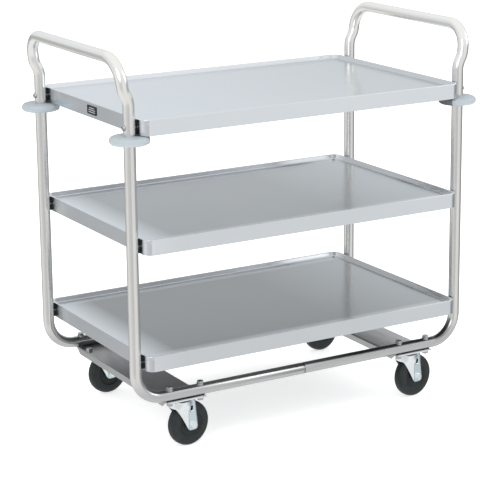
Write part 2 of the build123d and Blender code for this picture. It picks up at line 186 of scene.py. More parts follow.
def facing(way):
    """How far a direction points along a way, from -1 to 1."""
    product = studio.nodes.new("ShaderNodeVectorMath")
    product.operation = "DOT_PRODUCT"
    product.inputs[1].default_value = way
    studio.links.new(direction, product.inputs[0])
    return product.outputs["Value"]


# Bearings in degrees round the studio, from its front left corner, with how bright each is.
PANELS = [
    (-180, 0.28), (-150, 0.30), (-134, 0.45), (-97, 0.86), (-71, 0.97), (-50, 0.80),
    (-29, 0.70), (-9, 0.64), (9, 0.62), (20, 0.86), (31, 0.97), (48, 0.88),
    (70, 0.93), (84, 0.66), (97, 0.36), (134, 0.32), (180, 0.30),
]
ACROSS = (0.863, -0.504, 0.0)
TOWARDS = (-0.504, -0.863, 0.0)
bearing = combine(studio, "ARCTAN2", facing(ACROSS), facing(TOWARDS))
share_round = spread(studio, bearing, -pi, pi, 0.0, 1.0)
panels = studio.nodes.new("ShaderNodeValToRGB")
panels.color_ramp.interpolation = "EASE"
studio.links.new(share_round, panels.inputs["Fac"])
stops = panels.color_ramp.elements
while len(stops) < len(PANELS):
    stops.new(0.5)
for stop, (angle, glow) in zip(stops, PANELS):
    stop.position = (angle + 180) / 360
    stop.color = (glow, glow * 1.005, glow * 1.01, 1.0)
rise = facing((0.0, 0.0, 1.0))
FAR_WALL = (0.84, 0.875, 0.90)
CEILING = (1.02, 1.02, 1.02)
TABLE = (0.95, 0.95, 0.95)
STUDIO_STRENGTH = 0.95
over_panels = spread(studio, rise, 0.0, 0.10, 0.0, 1.0)
at_ceiling = spread(studio, rise, 0.30, 0.70, 0.0, 1.0)
at_table = spread(studio, rise, -0.30, -0.52, 0.0, 1.0)
wall = tint(studio, over_panels, panels.outputs["Color"], FAR_WALL)
room = tint(studio, at_ceiling, wall, CEILING)
room = tint(studio, at_table, room, TABLE)
studio.links.new(room, backdrop.inputs["Color"])
backdrop.inputs["Strength"].default_value = STUDIO_STRENGTH

# The softbox overhead lights the trolley but isn't seen in its steel.
for name, spot, aim, size, power in (
    ("overhead_softbox", (-0.6, -0.8, 3.4), (0.0, 0.0, 0.4), 2.6, 34.0),
    ("front_softbox", (-3.2, -2.4, 2.0), (0.0, 0.0, 0.5), 1.8, 22.0),
    ("right_softbox", (3.2, -2.0, 2.2), (0.0, 0.0, 0.5), 1.8, 16.0),
):
    light = bpy.data.lights.new(name, "AREA")
    light.size = size
    light.energy = power
    lamp = bpy.data.objects.new(name, light)
    turn = (Vector(aim) - Vector(spot)).to_track_quat("-Z", "Y").to_matrix().to_4x4()
    lamp.matrix_world = Matrix.Translation(spot) @ turn
    lamp.visible_glossy = name != "overhead_softbox"
    bpy.context.scene.collection.objects.link(lamp)

bpy.context.scene.view_settings.view_transform = "Standard"


# ---- End frames ----
# Each is one 25.4 mm stainless tube, bent from rail to leg to push handle and down
# again, and polished along its length. The left one's rail ends are swaged down and
# pushed into the right one's, under the middle of the trolley.
TUBE_R = 12.7 * MM
TUBE_WALL = 1.5 * MM
LEG_X = 416.7 * MM
LEG_Y = 222.0 * MM
RAIL_Z = 131.0 * MM
KINK_Z = 778.0 * MM
KINK_OUT = 12.0 * MM
KINK_LEAN = radians(28)
HANDLE_LEAN = radians(7.5)
HANDLE_Z = 866.0 * MM
BEND_RADII = [62.0 * MM, 45.0 * MM, 45.0 * MM, 55.0 * MM]
NECK_R = 11.1 * MM
SHOULDER = 2.5 * MM
TUBE_SIDES = 48
BEND_STEP = radians(5)


def everything(bm):
    return bm.verts[:] + bm.edges[:] + bm.faces[:]


def open_edges(bm):
    return [e for e in bm.edges if e.is_boundary]


def ring_edges(verts):
    """The edges that join these vertices to each other, in the same order each run."""
    chosen = set(verts)
    touching = dict.fromkeys(e for v in verts for e in v.link_edges)
    return [e for e in touching if set(e.verts) <= chosen]


def drawn_on(bm, verts, drawn, move, length):
    """Extrudes a ring of the tube by a move, and counts the length drawn on its new ring."""
    made = bmesh.ops.extrude_edge_only(bm, edges=ring_edges(verts))["geom"]
    fresh = [g for g in made if isinstance(g, bmesh.types.BMVert)]
    bmesh.ops.translate(bm, verts=fresh, vec=move)
    for vert in fresh:
        vert[drawn] = vert[drawn] + Vector((0, 0, length))
    return fresh


def bent_on(bm, verts, drawn, centre, axis, angle, radius):
    """Bends the tube on round a centre, a few degrees at a time."""
    steps = max(1, round(abs(angle) / BEND_STEP))
    for step in range(steps):
        last = bmesh.ops.spin(
            bm, geom=verts + ring_edges(verts), cent=centre, axis=axis, dvec=(0, 0, 0),
            angle=angle / steps, steps=1, use_merge=False, use_duplicate=False,
        )["geom_last"]
        verts = [g for g in last if isinstance(g, bmesh.types.BMVert)]
        for vert in verts:
            vert[drawn] = vert[drawn] + Vector((0, 0, abs(angle) * radius / steps))
    return verts


def end_frame(rail_end):
    """The right-hand frame: rail, leg and half the handle, then mirrored to the rear."""
    kink_top = KINK_Z + KINK_OUT / tan(KINK_LEAN)
    handle_x = LEG_X + KINK_OUT + (HANDLE_Z - kink_top) * tan(HANDLE_LEAN)
    corners = [
        Vector((rail_end, -LEG_Y, RAIL_Z)),
        Vector((LEG_X, -LEG_Y, RAIL_Z)),
        Vector((LEG_X, -LEG_Y, KINK_Z)),
        Vector((LEG_X + KINK_OUT, -LEG_Y, kink_top)),
        Vector((handle_x, -LEG_Y, HANDLE_Z)),
        Vector((handle_x, 0.0, HANDLE_Z)),
    ]
    bm = bmesh.new()
    drawn = bm.verts.layers.float_vector.new("drawn")
    rail_start = Matrix.Translation(corners[0]) @ Matrix.Rotation(pi / 2, 4, "Y")
    ring = bmesh.ops.create_circle(
        bm, segments=TUBE_SIDES, radius=TUBE_R, cap_ends=False, matrix=rail_start
    )["verts"]
    for vert in ring:
        vert[drawn] = (vert.co.y + LEG_Y, vert.co.z - RAIL_Z, 0.0)
    start = corners[0]
    for before, corner, after, radius in zip(corners, corners[1:], corners[2:], BEND_RADII):
        come = (corner - before).normalized()
        go = (after - corner).normalized()
        angle = come.angle(go)
        reach = radius * tan(angle / 2)
        bend_start = corner - come * reach
        ring = drawn_on(bm, ring, drawn, bend_start - start, (bend_start - start).length)
        inward = (go - come * come.dot(go)).normalized()
        centre = bend_start + inward * radius
        ring = bent_on(bm, ring, drawn, centre, come.cross(go), angle, radius)
        start = corner + go * reach
    ring = drawn_on(bm, ring, drawn, corners[-1] - start, (corners[-1] - start).length)
    bmesh.ops.mirror(bm, geom=everything(bm), axis="Y", merge_dist=1e-5, matrix=Matrix())
    return bm, drawn


def step_rail_ends(bm, drawn, move_x, radius_ratio):
    """Extrudes both open rail ends along X and scales them about the rails' axes."""
    open_ends = list(dict.fromkeys(v for e in open_edges(bm) for v in e.verts))
    fresh = drawn_on(bm, open_ends, drawn, (move_x, 0, 0), 0.0)
    for side in (-1, 1):
        middle = Matrix.Translation((0, -side * LEG_Y, -RAIL_Z))
        group = [v for v in fresh if v.co.y * side > 0]
        bmesh.ops.scale(bm, vec=(1, radius_ratio, radius_ratio), space=middle, verts=group)


# Satin stainless with long fine polishing lines and a little warmth in the metal. The
# colour holds painted light: a painted highlight on the handles, painted shade on the
# rails, and on the rails' top a painted dark reflection of the tray above.
satin_tube, tube_tree, tube_shader = new_finish("satin_tube", (0.80, 0.79, 0.77), 0.22, 1.0)
drawn_place = tube_tree.nodes.new("ShaderNodeAttribute")
drawn_place.attribute_name = "drawn"
streaks = grain(tube_tree, drawn_place.outputs["Vector"], (1, 1, 0.012), 900.0, 4.0)
patches = grain(tube_tree, drawn_place.outputs["Vector"], (1, 1, 0.25), 60.0)
tube_axes = tube_tree.nodes.new("ShaderNodeSeparateXYZ")
tube_tree.links.new(place_of(tube_tree), tube_axes.inputs[0])
ring_place = tube_tree.nodes.new("ShaderNodeSeparateXYZ")
tube_tree.links.new(drawn_place.outputs["Vector"], ring_place.inputs[0])
on_rail = spread(tube_tree, tube_axes.outputs["Z"], 0.145, 0.185, 1.0, 0.0)
handle_painted_highlight = spread(tube_tree, tube_axes.outputs["Z"], 0.74, 0.82, 0.0, 1.0)
# The dark band on the rails' top is a painted reflection of the tray's dark underside.
rail_top_painted_reflection = combine(
    tube_tree, "MULTIPLY",
    spread(tube_tree, ring_place.outputs["Y"], 4.5 * MM, 8.5 * MM, 0.0, 1.0),
    spread(tube_tree, tube_axes.outputs["X"], -0.05, 0.15, 0.0, 1.0),
)
leg_colour = tint(tube_tree, patches, (0.74, 0.73, 0.71), (0.84, 0.83, 0.81))
# The handles' lighter colour is a painted highlight.
leg_colour = tint(tube_tree, handle_painted_highlight, leg_colour, (0.91, 0.90, 0.87))
# The rails' darker colour is painted shade.
rail_painted_shade_colour = tint(tube_tree, patches, (0.50, 0.50, 0.50), (0.60, 0.60, 0.60))
rail_painted_shade_colour = tint(tube_tree, rail_top_painted_reflection, rail_painted_shade_colour, (0.22, 0.22, 0.22))
tube_colour = tint(tube_tree, on_rail, leg_colour, rail_painted_shade_colour)
tube_tree.links.new(tube_colour, tube_shader.inputs["Base Color"])
tube_rough = spread(tube_tree, streaks, 0.3, 0.7, 0.17, 0.29)
tube_tree.links.new(tube_rough, tube_shader.inputs["Roughness"])
relief(tube_tree, tube_shader, streaks, 0.12, 0.0001)

RAIL_GAP = 2.0 * MM
MOUTH = 4.0 * MM
NECK_SHOWN = 20.0 * MM
right_bm, right_drawn = end_frame(RAIL_GAP / 2)
step_rail_ends(right_bm, right_drawn, 0.0, (TUBE_R - TUBE_WALL) / TUBE_R)
step_rail_ends(right_bm, right_drawn, MOUTH, 1.0)
bmesh.ops.holes_fill(right_bm, edges=open_edges(right_bm), sides=0)

left_bm, left_drawn = end_frame(RAIL_GAP / 2 + SHOULDER)
step_rail_ends(left_bm, left_drawn, -SHOULDER, NECK_R / TUBE_R)
step_rail_ends(left_bm, left_drawn, -NECK_SHOWN, 1.0)
bmesh.ops.holes_fill(left_bm, edges=open_edges(left_bm), sides=0)
bmesh.ops.scale(left_bm, vec=(-1, 1, 1), verts=left_bm.verts[:])

for side, bm in (("left", left_bm), ("right", right_bm)):
    bmesh.ops.recalc_face_normals(bm, faces=bm.faces[:])
    tube = as_object(bm, f"{side}_end_frame", satin_tube)
    tube.data.set_sharp_from_angle(angle=radians(50))
    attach(tube, "trolley_frame")
    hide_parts(f"{side}_frame_tube")


# ---- Trays ----
# Bright rolled stainless sheet, pressed in one piece: a narrow flat rim, a short slope
# down to the deck, and an apron with its lower edge turned in. The press leaves two
# small dimples under the rim at each corner.
SHEET = 1.2 * MM
RIM = 4.0 * MM
DECK_DROP = 9.0 * MM
DECK_SLOPE = 6.0 * MM
HEM = 8.0 * MM
TRAY_CORNER = 20.0 * MM
CORNER_STEPS = 12
# How far below the rim the dimples start and end.
DIMPLE_SPAN = (4.0 * MM, 9.5 * MM)

rolled_sheet, sheet_tree, sheet_shader = new_finish("rolled_sheet", (0.76, 0.79, 0.82), 0.2, 1.0)
sheet_place = place_of(sheet_tree)
rolling = grain(sheet_tree, sheet_place, (0.02, 1, 1), 700.0, 4.0)
clouding = grain(sheet_tree, sheet_place, (1, 1, 1), 7.0, 4.0)
buckle = grain(sheet_tree, sheet_place, (1, 1, 1), 4.5, 1.0)
bright_sheet = tint(sheet_tree, clouding, (0.74, 0.775, 0.805), (0.80, 0.83, 0.86))

# Painted shade: the two lower decks are darkened in colour where the tray over them shades
# them, least near their open edges; the top one is darkened a little towards the right,
# and the lowest tray a little all over.
sheet_axes = sheet_tree.nodes.new("ShaderNodeSeparateXYZ")
sheet_tree.links.new(sheet_place, sheet_axes.inputs[0])
sheet_x, sheet_y, sheet_z = sheet_axes.outputs
off_middle = combine(sheet_tree, "ABSOLUTE", sheet_y, 0.0)
from_left = spread(sheet_tree, sheet_x, -0.390, -0.31, 0.0, 1.0)
from_right = spread(sheet_tree, sheet_x, 0.10, 0.385, 1.0, 0.66)
from_long_edges = spread(sheet_tree, off_middle, 0.205, 0.243, 1.0, 0.15)
under_tray = combine(sheet_tree, "MULTIPLY", from_left, from_right)
under_tray = combine(sheet_tree, "MULTIPLY", under_tray, from_long_edges)
level_painted_shade = spread(sheet_tree, sheet_z, 0.25, 0.46, 0.62, 0.56)
low_levels = spread(sheet_tree, sheet_z, 0.52, 0.66, 1.0, 0.0)
lower_painted_shade = combine(sheet_tree, "MULTIPLY", level_painted_shade, low_levels)
lower_painted_shade = combine(sheet_tree, "MULTIPLY", lower_painted_shade, under_tray)
top_level = combine(
    sheet_tree, "MULTIPLY",
    spread(sheet_tree, sheet_z, 0.70, 0.72, 0.0, 1.0),
    spread(sheet_tree, off_middle, 0.235, 0.25, 1.0, 0.0),
)
towards_right = spread(sheet_tree, sheet_x, -0.30, 0.38, 0.0, 0.22)
top_painted_shade = combine(sheet_tree, "MULTIPLY", towards_right, top_level)
lowest_painted_shade = spread(sheet_tree, sheet_z, 0.24, 0.45, 0.07, 0.0)
painted_deck_shade = combine(sheet_tree, "ADD", lower_painted_shade, top_painted_shade)
painted_deck_shade = combine(sheet_tree, "ADD", painted_deck_shade, lowest_painted_shade)
# The painted shade mixes the sheet's colour towards near black.
sheet_colour = tint(sheet_tree, painted_deck_shade, bright_sheet, (0.02, 0.02, 0.016))
sheet_tree.links.new(sheet_colour, sheet_shader.inputs["Base Color"])
sheet_rough = combine(
    sheet_tree, "ADD",
    spread(sheet_tree, clouding, 0.3, 0.7, 0.15, 0.20),
    spread(sheet_tree, rolling, 0.3, 0.7, 0.0, 0.06),
)
sheet_tree.links.new(sheet_rough, sheet_shader.inputs["Roughness"])
sheet_wave = relief(sheet_tree, sheet_shader, buckle, 0.10, 0.01)
relief(sheet_tree, sheet_shader, rolling, 0.06, 0.0001, under=sheet_wave)


def dull_side(name, dark, light, metallic):
    """The dull mill finish that the underside of the sheet keeps, between two tones that are given
    darkened as painted shade.
    """
    material, tree, shader = new_finish(name, light, 0.42, metallic)
    marks = grain(tree, place_of(tree), (0.05, 1, 1), 300.0, 4.0)
    clouds = grain(tree, place_of(tree), (1, 1, 1), 12.0, 4.0)
    tree.links.new(tint(tree, clouds, dark, light), shader.inputs["Base Color"])
    tree.links.new(spread(tree, marks, 0.3, 0.7, 0.34, 0.50), shader.inputs["Roughness"])
    relief(tree, shader, marks, 0.10, 0.0001)
    return material


# The underside's own mill finish, its tones darkened as painted shade for the shaded floor it faces.
dull_underside_with_painted_shade = dull_side("dull_underside_with_painted_shade", (0.66, 0.67, 0.69), (0.78, 0.79, 0.81), 0.4)
# A much darker copy for the bottom tray's underside, painted shade: nothing under it lights it but the
# shaded floor.
shaded_underside = dull_side("shaded_underside", (0.13, 0.135, 0.14), (0.19, 0.195, 0.20), 1.0)


def pressed_part(face, top):
    """Which part of a tray a face belongs to."""
    level = abs(face.normal.z)
    spot = face.calc_center_median()
    if level > 0.95:
        if spot.z > top - DECK_DROP / 2:
            return "rim"
        return "deck" if spot.z > top - 1.5 * DECK_DROP else "hem"
    return "slope" if level > 0.1 else "apron"


def folds(bm, top, first, second):
    """The edges where two parts of a tray meet."""
    bm.normal_update()
    wanted = {first, second}
    return [
        e for e in bm.edges
        if len(e.link_faces) == 2 and {pressed_part(f, top) for f in e.link_faces} == wanted
    ]


def pressed_tray(low, high):
    """One tray's outer face: rim, slope, deck, apron and hem, with its folds rounded."""
    half_x, half_y, top = high.x, high.y, high.z
    bm = bmesh.new()
    bmesh.ops.create_grid(bm, x_segments=1, y_segments=1, size=1.0)
    bmesh.ops.scale(bm, vec=(half_x, half_y, 1), verts=bm.verts[:])
    bmesh.ops.translate(bm, vec=(0, 0, top), verts=bm.verts[:])
    bmesh.ops.bevel(
        bm, geom=bm.verts[:], offset=TRAY_CORNER, offset_type="OFFSET", segments=CORNER_STEPS,
        profile=0.5, affect="VERTICES", material=-1,
    )
    deck = bm.faces[:]
    for width in (RIM, DECK_SLOPE):
        bmesh.ops.inset_region(
            bm, faces=deck, thickness=width, depth=0.0, use_even_offset=True, use_boundary=True
        )
    bmesh.ops.translate(bm, vec=(0, 0, -DECK_DROP), verts=list(deck[0].verts))
    apron = bmesh.ops.extrude_edge_only(bm, edges=open_edges(bm))["geom"]
    apron_foot = [g for g in apron if isinstance(g, bmesh.types.BMVert)]
    bmesh.ops.translate(bm, vec=(0, 0, low.z - top), verts=apron_foot)
    hem = bmesh.ops.extrude_edge_only(bm, edges=ring_edges(apron_foot))["geom"]
    hem_verts = [g for g in hem if isinstance(g, bmesh.types.BMVert)]
    inwards = ((half_x - HEM) / half_x, (half_y - HEM) / half_y, 1)
    bmesh.ops.scale(bm, vec=inwards, verts=hem_verts)
    for first, second, radius, segments in (
        ("rim", "slope", 1.5 * MM, 3),
        ("slope", "deck", 1.5 * MM, 3),
        ("rim", "apron", 1.6 * MM, 4),
        ("apron", "hem", 1.0 * MM, 3),
    ):
        bmesh.ops.bevel(
            bm, geom=folds(bm, top, first, second), offset=radius, offset_type="OFFSET",
            segments=segments, profile=0.5, affect="EDGES", material=-1,
        )
    for drop in DIMPLE_SPAN:
        bmesh.ops.bisect_plane(
            bm, geom=everything(bm), plane_co=(0, 0, top - drop), plane_no=(0, 0, 1)
        )
    bm.normal_update()
    dimples = [f for f in bm.faces if is_dimple(f, half_x, half_y, top)]
    bmesh.ops.inset_individual(
        bm, faces=dimples, thickness=0.9 * MM, depth=-1.1 * MM, use_even_offset=True
    )
    bmesh.ops.recalc_face_normals(bm, faces=bm.faces[:])
    return bm


def is_dimple(face, half_x, half_y, top):
    """The apron faces a third and two thirds of the way round each corner."""
    spot = face.calc_center_median()
    if abs(face.normal.z) > 0.1 or not DIMPLE_SPAN[0] < top - spot.z < DIMPLE_SPAN[1]:
        return False
    across = abs(spot.x) - (half_x - TRAY_CORNER)
    along = abs(spot.y) - (half_y - TRAY_CORNER)
    if across < 0 or along < 0:
        return False
    turn = pi / 2 / CORNER_STEPS
    return any(
        abs(across - cos(turn * (step + 0.5)) * TRAY_CORNER) < 0.6 * MM for step in (3, 8)
    )


def even_shading(piece):
    """Keeps broad flat faces flat where they meet the small rounded ones."""
    weighted = piece.modifiers.new("even_shading", "WEIGHTED_NORMAL")
    weighted.keep_sharp = False
    weighted.weight = 80


def sheet_metal(piece, thickness, inner_slot=0, even=True):
    """Gives a pressed shell its thickness, inwards from the faces that were modelled."""
    wall = piece.modifiers.new("sheet_thickness", "SOLIDIFY")
    wall.thickness = thickness
    wall.offset = -1.0
    wall.use_even_offset = even
    wall.material_offset = inner_slot
    even_shading(piece)


LEVELS = ("bottom", "middle", "top")
for level_name in LEVELS:
    low, high = (Vector(corner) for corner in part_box(f"{level_name}_tray"))
    underside = shaded_underside if level_name == "bottom" else dull_underside_with_painted_shade
    tray_name = f"{level_name}_pressed_tray"
    tray = as_object(pressed_tray(low, high), tray_name, rolled_sheet, underside)
    sheet_metal(tray, SHEET, inner_slot=1)
    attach(tray, "trolley_frame")
    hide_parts(f"{level_name}_tray")


# ---- Tray pads, bolts, nuts and leg inserts ----
# Black nylon pads keep the legs off the aprons. Zinc-plated M8 bolts hold each tray
# at its four corners: through the legs at the top, into inserts in the legs below.
def dress(node, material):
    """Gives a CAD node its finish."""
    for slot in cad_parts[node].material_slots:
        slot.link = "OBJECT"
        slot.material = material


black_nylon, nylon_tree, nylon_shader = new_finish("black_nylon", (0.012, 0.012, 0.013), 0.6)
nylon_grain = grain(nylon_tree, place_of(nylon_tree), (1, 1, 1), 900.0, 4.0)
nylon_colour = tint(nylon_tree, nylon_grain, (0.008, 0.008, 0.009), (0.018, 0.018, 0.019))
nylon_tree.links.new(nylon_colour, nylon_shader.inputs["Base Color"])
relief(nylon_tree, nylon_shader, nylon_grain, 0.25, 0.0002)
nylon_shader.inputs["Specular IOR Level"].default_value = 0.2

PAD_HALF = 4.0 * MM
pads = bmesh.new()
for level_name in LEVELS:
    low, high = (Vector(corner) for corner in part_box(f"{level_name}_tray"))
    depth = LEG_X - TUBE_R - high.x - 0.1 * MM
    size = Matrix.Diagonal((depth, 2 * PAD_HALF, high.z - low.z - 4 * MM, 1.0))
    for side in (-1, 1):
        for end in (-1, 1):
            middle = (side * (high.x + depth / 2), end * LEG_Y, (low.z + high.z) / 2)
            bmesh.ops.create_cube(pads, size=1.0, matrix=Matrix.Translation(middle) @ size)
bmesh.ops.bevel(
    pads, geom=pads.edges[:], offset=0.6 * MM, offset_type="OFFSET", segments=2,
    profile=0.5, affect="EDGES", material=-1,
)
leg_pads = as_object(pads, "leg_pads", black_nylon)
leg_pads.data.set_sharp_from_angle(angle=radians(50))
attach(leg_pads, "trolley_frame")
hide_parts("tray_pads")


def zinc_finish(name, first, second):
    """Zinc plating: fine crystals, and a bloom between two tones."""
    material, tree, shader = new_finish(name, second, 0.27, 1.0)
    spots = grain(tree, place_of(tree), (1, 1, 1), 220.0, 5.0, 0.7)
    bloom = grain(tree, place_of(tree), (1, 1, 1), 45.0, 3.0)
    colour = tint(tree, bloom, first, second)
    tree.links.new(colour, shader.inputs["Base Color"])
    tree.links.new(spread(tree, spots, 0.3, 0.7, 0.26, 0.33), shader.inputs["Roughness"])
    relief(tree, shader, spots, 0.03, 0.0001)
    return material, tree, shader, colour


zinc_plate = zinc_finish("zinc_plate", (0.84, 0.885, 0.92), (0.91, 0.94, 0.95))[0]
# A darker copy of the zinc plating, painted shade, for the bolts, nuts and inserts.
bolt_zinc = zinc_finish("bolt_zinc", (0.40, 0.42, 0.44), (0.54, 0.56, 0.58))[0]
for node in ("top_tray_bolts", "top_tray_nuts", "lower_tray_bolts", "leg_inserts"):
    dress(node, bolt_zinc)


# ---- Nameplate ----
# A small enamelled plate on the left end of the top tray: dark all over, but for three
# plain bars of bare metal that stand proud.
enamel, enamel_tree, enamel_shader = new_finish("nameplate_enamel", (0.016, 0.019, 0.022), 0.5)
name_low, name_high = (Vector(corner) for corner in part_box("nameplate"))
name_middle = (name_low + name_high) / 2
name_half = (name_high - name_low) / 2
enamel_place = enamel_tree.nodes.new("ShaderNodeSeparateXYZ")
enamel_tree.links.new(place_of(enamel_tree), enamel_place.inputs[0])
PROUD_X = name_low.x + 0.2 * MM
proud = spread(enamel_tree, enamel_place.outputs["X"], PROUD_X, PROUD_X + 0.05 * MM, 1.0, 0.0)
bare = proud
for axis in (1, 2):
    middle, half = name_middle[axis], name_half[axis]
    off_centre = combine(enamel_tree, "SUBTRACT", enamel_place.outputs[axis], middle)
    off_centre = combine(enamel_tree, "ABSOLUTE", off_centre, 0.0)
    inside = spread(enamel_tree, off_centre, 0.80 * half, 0.84 * half, 1.0, 0.0)
    bare = combine(enamel_tree, "MULTIPLY", bare, inside)
enamel_speck = grain(enamel_tree, place_of(enamel_tree), (1, 1, 1), 800.0)
enamel_ground = tint(enamel_tree, enamel_speck, (0.010, 0.012, 0.014), (0.022, 0.026, 0.030))
enamel_colour = tint(enamel_tree, bare, enamel_ground, (0.72, 0.74, 0.76))
enamel_tree.links.new(enamel_colour, enamel_shader.inputs["Base Color"])
enamel_tree.links.new(bare, enamel_shader.inputs["Metallic"])
relief(enamel_tree, enamel_shader, enamel_speck, 0.08, 0.0001)
enamel_shader.inputs["Specular IOR Level"].default_value = 0.2
dress("nameplate", enamel)


# ---- Bumpers ----
# Pale grey rubber rings with a full round edge, slipped round each leg under the top
# tray. A dark clamp with one screw closes each on the side towards the trolley.
BUMPER_R = 42.5 * MM
BUMPER_EDGE = 7.8 * MM
CLAMP_ANGLE = 38.0
ROUND_STEPS = 8

pale_rubber, rubber_tree, rubber_shader = new_finish("pale_rubber", (0.45, 0.52, 0.56), 0.5)
rubber_place = place_of(rubber_tree)
rubber_grain = grain(rubber_tree, rubber_place, (1, 1, 1), 700.0, 4.0)
rubber_bloom = grain(rubber_tree, rubber_place, (1, 1, 1), 30.0, 3.0)
rubber_colour = tint(rubber_tree, rubber_bloom, (0.36, 0.405, 0.435), (0.43, 0.475, 0.505))
rubber_rough = spread(rubber_tree, rubber_grain, 0.3, 0.7, 0.42, 0.58)
rubber_tree.links.new(rubber_colour, rubber_shader.inputs["Base Color"])
rubber_tree.links.new(rubber_rough, rubber_shader.inputs["Roughness"])
relief(rubber_tree, rubber_shader, rubber_grain, 0.12, 0.0002)
rubber_shader.inputs["Subsurface Weight"].default_value = 0.15
rubber_shader.inputs["Subsurface Radius"].default_value = (0.004, 0.004, 0.004)
rubber_shader.inputs["Subsurface Scale"].default_value = 1.0

dark_moulding, clamp_tree, clamp_shader = new_finish("dark_moulding", (0.10, 0.11, 0.115), 0.45)
clamp_grain = grain(clamp_tree, place_of(clamp_tree), (1, 1, 1), 800.0, 4.0)
clamp_colour = tint(clamp_tree, clamp_grain, (0.08, 0.09, 0.095), (0.13, 0.14, 0.145))
clamp_tree.links.new(clamp_colour, clamp_shader.inputs["Base Color"])
relief(clamp_tree, clamp_shader, clamp_grain, 0.2, 0.0002)


def turned_sector(outline, start, sweep, centre, axis="Z", steps=72):
    """Turns a closed outline of (radius, height) points round an axis, with its ends closed."""
    bm = bmesh.new()
    verts = [bm.verts.new((radius, 0.0, height)) for radius, height in outline]
    edges = [bm.edges.new(pair) for pair in zip(verts, verts[1:] + verts[:1])]
    full = abs(sweep) >= 359.9
    first_turn = Matrix.Rotation(radians(start), 3, "Z")
    bmesh.ops.rotate(bm, cent=(0, 0, 0), matrix=first_turn, verts=verts)
    bmesh.ops.spin(
        bm, geom=verts + edges, cent=(0, 0, 0), axis=(0, 0, 1), dvec=(0, 0, 0),
        angle=radians(sweep), steps=steps, use_merge=full, use_duplicate=False,
    )
    if not full:
        bmesh.ops.holes_fill(bm, edges=open_edges(bm), sides=0)
    bmesh.ops.remove_doubles(bm, verts=bm.verts[:], dist=1e-6)
    bmesh.ops.recalc_face_normals(bm, faces=bm.faces[:])
    if axis == "Y":
        lie_down = Matrix.Rotation(-pi / 2, 3, "X")
        bmesh.ops.rotate(bm, cent=(0, 0, 0), matrix=lie_down, verts=bm.verts[:])
    bmesh.ops.translate(bm, vec=centre, verts=bm.verts[:])
    return bm


def rounded_bar(inner, outer, height, edge):
    """A ring's cross-section with its two outer corners rounded."""
    points = [(inner, 0.0)]
    for corner_z, first in ((edge, -90), (height - edge, 0)):
        for step in range(ROUND_STEPS + 1):
            turn = radians(first + 90 * step / ROUND_STEPS)
            points.append((outer - edge + edge * cos(turn), corner_z + edge * sin(turn)))
    points.append((inner, height))
    return points


CORNERS = {
    "front_left": (-1, -1),
    "front_right": (1, -1),
    "rear_left": (-1, 1),
    "rear_right": (1, 1),
}
for corner, (side, end) in CORNERS.items():
    low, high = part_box(f"{corner}_bumper")
    height = high[2] - low[2]
    opening = 0.0 if side < 0 else 180.0
    leg = Vector((side * LEG_X, end * LEG_Y, low[2]))
    rubber = turned_sector(
        rounded_bar(TUBE_R + 0.05 * MM, BUMPER_R, height, BUMPER_EDGE),
        opening + CLAMP_ANGLE, 360 - 2 * CLAMP_ANGLE, leg,
    )
    ring = as_object(rubber, f"{corner}_bumper_ring", pale_rubber)
    ring.data.set_sharp_from_angle(angle=radians(40))
    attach(ring, "trolley_frame")
    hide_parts(f"{corner}_bumper")
    dress(f"{corner}_bumper_clamp", dark_moulding)
dress("bumper_clamp_screws", zinc_plate)


# ---- Caster bolsters ----
# Inverted channels of mill-finish sheet across the two rails, their flanges cut back
# at the ends. The casters bolt up against them.
mill_channel, channel_tree, channel_shader = new_finish("mill_channel", (0.50, 0.50, 0.50), 0.38, 1.0)
channel_place = place_of(channel_tree)
channel_lines = grain(channel_tree, channel_place, (1, 0.04, 1), 420.0, 4.0)
channel_clouds = grain(channel_tree, channel_place, (1, 1, 1), 16.0, 4.0)
channel_colour = tint(channel_tree, channel_clouds, (0.50, 0.50, 0.50), (0.62, 0.62, 0.62))
channel_rough = spread(channel_tree, channel_lines, 0.3, 0.7, 0.30, 0.46)
channel_tree.links.new(channel_colour, channel_shader.inputs["Base Color"])
channel_tree.links.new(channel_rough, channel_shader.inputs["Roughness"])
relief(channel_tree, channel_shader, channel_lines, 0.12, 0.0001)
for node in ("left_caster_bolster", "right_caster_bolster"):
    dress(node, mill_channel)
for node in ("caster_bolts", "caster_nuts"):
    dress(node, bolt_zinc)


# ---- Caster plates, kingpins and races ----
# A zinc-plated plate on each bolster, with a ball race under it round the riveted
# kingpin. The balls are bare polished steel.
ball_steel, ball_tree, ball_shader = new_finish("ball_steel", (0.66, 0.66, 0.68), 0.12, 1.0)
ball_film = grain(ball_tree, place_of(ball_tree), (1, 1, 1), 300.0)
ball_tree.links.new(spread(ball_tree, ball_film, 0.3, 0.7, 0.08, 0.2), ball_shader.inputs["Roughness"])
for corner in CORNERS:
    dress(f"{corner}_caster_plate", zinc_plate)
    dress(f"{corner}_kingpin", zinc_plate)
    dress(f"{corner}_race_balls", ball_steel)


# ---- Caster forks ----
# Pressed from one sheet and zinc plated: a round crown over the ball race, a skirt
# behind it, and an arm down each side of the wheel. Each arm is flat in front and
# creased back towards the skirt, with a slot in it above the wheel's middle.
HEADING = 8.5
TRAIL = 20.0 * MM
AXLE_Z = 50.0 * MM
FORK_SHEET = 2.8 * MM
ARM_FACE = 18.7 * MM
CROWN_R = 25.0 * MM
CROWN_TOP = 107.4 * MM
SKIRT_LOW = 92.0 * MM
CREASE_X = 9.0 * MM
CREASE_LEAN = 0.12
CREASE_TOP = 95.0 * MM
CREASE_FADE = 15.0 * MM
FLARE_START = 82.0 * MM
FLARE_HEIGHT = 14.0 * MM
SLOT_X = (TRAIL - 6.5 * MM, TRAIL + 0.5 * MM)
SLOT_Z = (83.0 * MM, 94.0 * MM)
CASTER_X = 299.0 * MM
CASTER_Y = 199.5 * MM
